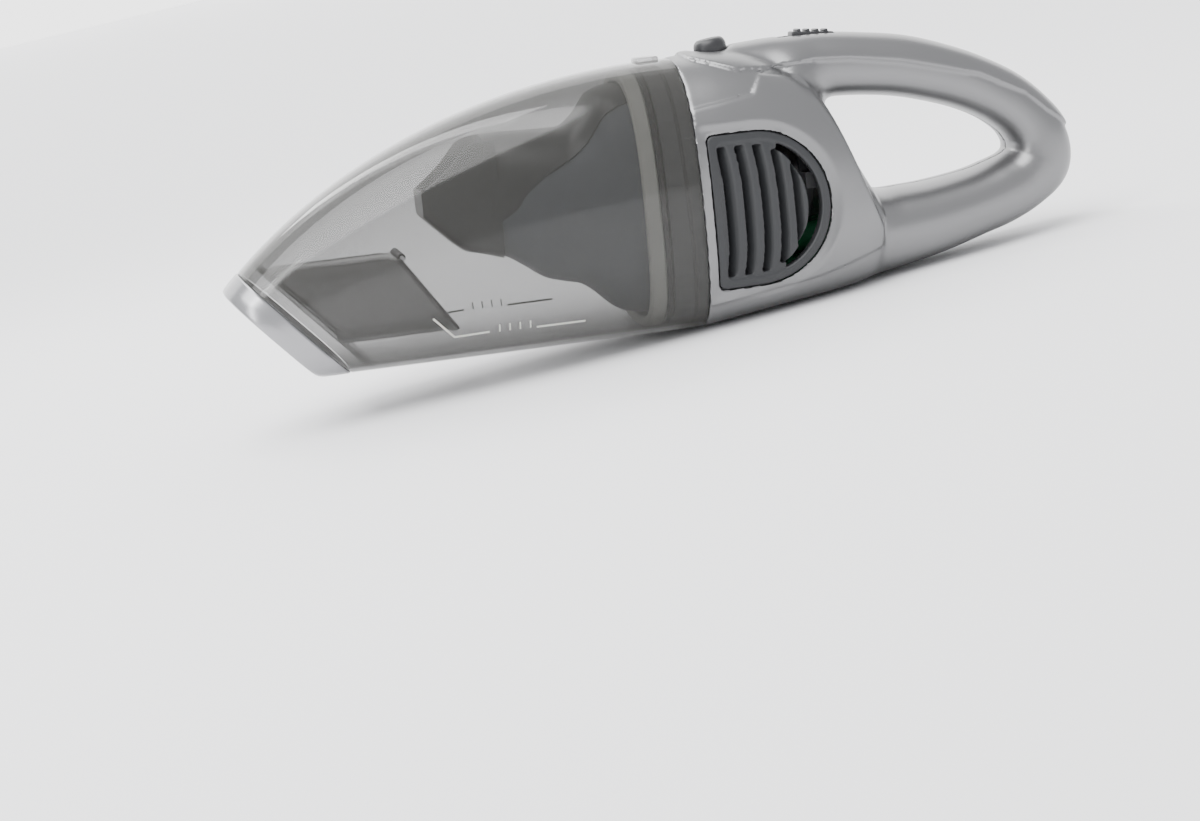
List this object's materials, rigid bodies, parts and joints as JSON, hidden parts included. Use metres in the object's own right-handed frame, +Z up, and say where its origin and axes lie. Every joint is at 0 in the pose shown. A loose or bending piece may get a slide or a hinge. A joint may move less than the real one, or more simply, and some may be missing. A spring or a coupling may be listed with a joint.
{
  "type": "handheld vacuum",
  "caption": "Cordless wet and dry hand vacuum with a clear lift-off dust tank, oblique nozzle, side vents, loop handle, slide switch and release button.",
  "frame": {"origin": "middle of the footprint at the belly, on the surface the vacuum stands on", "axes": "+Z up, nozzle towards -X, handle towards +X, symmetric across Y = 0"},
  "size_m": [0.4377, 0.1024, 0.138],
  "materials": {
    "shell_silver": "satin metallic paint on ABS",
    "rim_silver": "satin metallic paint on ABS",
    "vent_charcoal": "fine matt moulded ABS",
    "button_charcoal": "fine matt moulded ABS",
    "inner_grey": "moulded, unpainted",
    "clear_smoke": "clear smoked polycarbonate, polished",
    "duct_smoke": "smoked plastic",
    "flap_rubber": "soft black rubber",
    "seal_milky": "milky translucent rubber",
    "filter_dark": "moulded, satin",
    "filter_fabric": "fine felted filter cloth",
    "steel": "plain steel",
    "copper_can": "drawn steel can",
    "fan_white": "natural nylon",
    "cell_green": "shrink sleeve",
    "board_green": "circuit board lacquer",
    "boot_rubber": "soft rubber",
    "socket_black": "moulded",
    "lamp_red": "clear red light pipe"
  },
  "bodies": {
    "housing": {"left_shell": "shell_silver", "right_shell": "shell_silver", "left_vent_grille": "vent_charcoal", "right_vent_grille": "vent_charcoal", "front_bulkhead": "inner_grey", "fan_housing": "inner_grey", "motor_can": "copper_can", "motor_boot": "boot_rubber", "motor_cradle": "inner_grey", "battery_cells": "cell_green", "cell_links": "steel", "charge_board": "board_green", "charge_socket": "socket_black", "charge_lamp": "lamp_red", "switch_body": "socket_black", "button_spring": "steel", "latch_pin": "steel", "latch_frame": "inner_grey", "shell_screws": "steel"},
    "fan": {"fan_impeller": "fan_white", "motor_shaft": "steel"},
    "slider": {"power_slider": "button_charcoal"},
    "button": {"release_button": "button_charcoal"},
    "latch": {"latch_lever": "inner_grey"},
    "tank": {"dust_tank": "clear_smoke", "nozzle_rim": "rim_silver", "inlet_duct": "duct_smoke", "flap_pin": "steel"},
    "flap": {"inlet_flap": "flap_rubber"},
    "filter": {"filter_frame": "filter_dark", "filter_cloth": "filter_fabric", "filter_seal": "seal_milky"}
  },
  "joints": [
    {"name": "fan_spin", "type": "hinge", "parent": "housing", "child": "fan", "pos_m": [0.01388, 0, 0.06742], "axis": [0.9914, 0, -0.1305], "continuous": true},
    {"name": "power_slide", "type": "slide", "parent": "housing", "child": "slider", "axis": [-0.9744, 0, 0.225], "range_m": [0, 0.006]},
    {"name": "button_press", "type": "slide", "parent": "housing", "child": "button", "axis": [0, 0, -1], "range_m": [0, 0.0025], "stiffness_N_per_m": 200, "springref_m": -0.001, "deforming": ["button_spring"]},
    {"name": "latch_turn", "type": "hinge", "parent": "housing", "child": "latch", "pos_m": [0.08, 0, 0.119], "axis": [0, -1, 0], "range_deg": [0, 4.4]},
    {"name": "tank_slide", "type": "slide", "parent": "housing", "child": "tank", "axis": [-0.9914, 0, 0.1305], "range_m": [0, 0.2]},
    {"name": "filter_slide", "type": "slide", "parent": "housing", "child": "filter", "axis": [-0.9914, 0, 0.1305], "range_m": [0, 0.095]},
    {"name": "flap_swing", "type": "hinge", "parent": "tank", "child": "flap", "pos_m": [-0.13082, 0, 0.07154], "axis": [0, -1, 0], "range_deg": [0, 18], "stiffness_Nm_per_rad": 0.004, "springref_deg": -5.73}
  ],
  "couplings": [
    {"joint": "latch_turn", "follows": "button_press", "rad_per_m": 29.412},
    {"joint": "filter_slide", "follows": "tank_slide", "ratio": 0.46}
  ]
}
